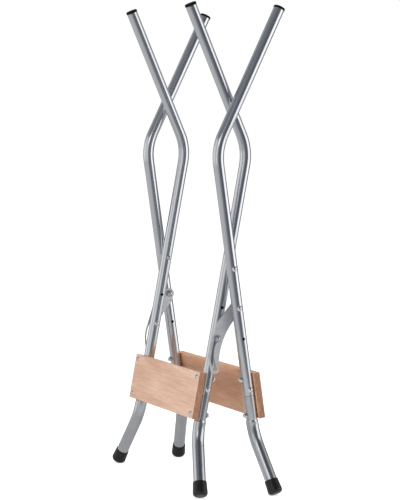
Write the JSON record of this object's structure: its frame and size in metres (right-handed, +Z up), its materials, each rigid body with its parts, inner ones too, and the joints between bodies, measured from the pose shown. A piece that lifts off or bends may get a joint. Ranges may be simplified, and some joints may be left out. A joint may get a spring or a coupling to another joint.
{
  "type": "folding log saw stand",
  "caption": "Folding scissor stand of bent steel tubes with splayed rubber-footed legs, wooden cross boards and slotted stay straps, for holding logs while they are sawn.",
  "frame": {"origin": "on the floor, midway between the four feet of the folded stand", "axes": "+Z up, X the way the legs spread, Y the way a log lies across both frames"},
  "size_m": [0.231, 0.5504, 1.0949],
  "materials": {
    "tube_steel": "bright zinc-plated tube, satin along its length",
    "leg_steel": "zinc-plated tube, greyer satin",
    "strap_steel": "matt galvanised strip",
    "zinc": "bright zinc fasteners",
    "beech": "planed beech, clear sealed",
    "foot_rubber": "moulded rubber, satin",
    "plug_plastic": "moulded plastic"
  },
  "bodies": {
    "outer_frame": {"outer_tube_near": "tube_steel", "outer_tube_far": "tube_steel", "outer_leg_near": "leg_steel", "outer_leg_far": "leg_steel", "outer_foot_near": "foot_rubber", "outer_foot_far": "foot_rubber", "outer_plug_near": "plug_plastic", "outer_plug_far": "plug_plastic", "outer_board": "beech", "outer_board_screws": "zinc", "outer_board_nuts": "zinc", "outer_leg_bolts": "zinc", "outer_leg_nuts": "zinc", "pivot_bolts": "zinc", "pivot_washers": "zinc", "pivot_nuts": "zinc", "strap_bolts": "zinc", "strap_washers": "zinc", "strap_nuts": "zinc"},
    "inner_frame": {"inner_tube_near": "tube_steel", "inner_tube_far": "tube_steel", "inner_leg_near": "leg_steel", "inner_leg_far": "leg_steel", "inner_foot_near": "foot_rubber", "inner_foot_far": "foot_rubber", "inner_plug_near": "plug_plastic", "inner_plug_far": "plug_plastic", "inner_board": "beech", "inner_board_screws": "zinc", "inner_board_nuts": "zinc", "inner_leg_bolts": "zinc", "inner_leg_nuts": "zinc", "slot_bolts": "zinc", "slot_washers": "zinc", "slot_nuts": "zinc"},
    "near_stay": {"strap_near": "strap_steel"},
    "far_stay": {"strap_far": "strap_steel"}
  },
  "joints": [
    {"name": "leg_spread", "type": "hinge", "parent": "outer_frame", "child": "inner_frame", "pos_m": [0, 0, 0.50519], "axis": [0, 1, 0], "range_deg": [0, 44]},
    {"name": "near_stay_swing", "type": "hinge", "parent": "outer_frame", "child": "near_stay", "pos_m": [0.01501, -0.1788, 0.41645], "axis": [0, 1, 0], "range_deg": [0, 69.52]},
    {"name": "far_stay_swing", "type": "hinge", "parent": "outer_frame", "child": "far_stay", "pos_m": [0.01501, 0.1788, 0.41645], "axis": [0, 1, 0], "range_deg": [0, 69.52]}
  ],
  "couplings": [
    {"joint": "near_stay_swing", "follows": "leg_spread", "ratio": 1.58},
    {"joint": "far_stay_swing", "follows": "leg_spread", "ratio": 1.58}
  ]
}
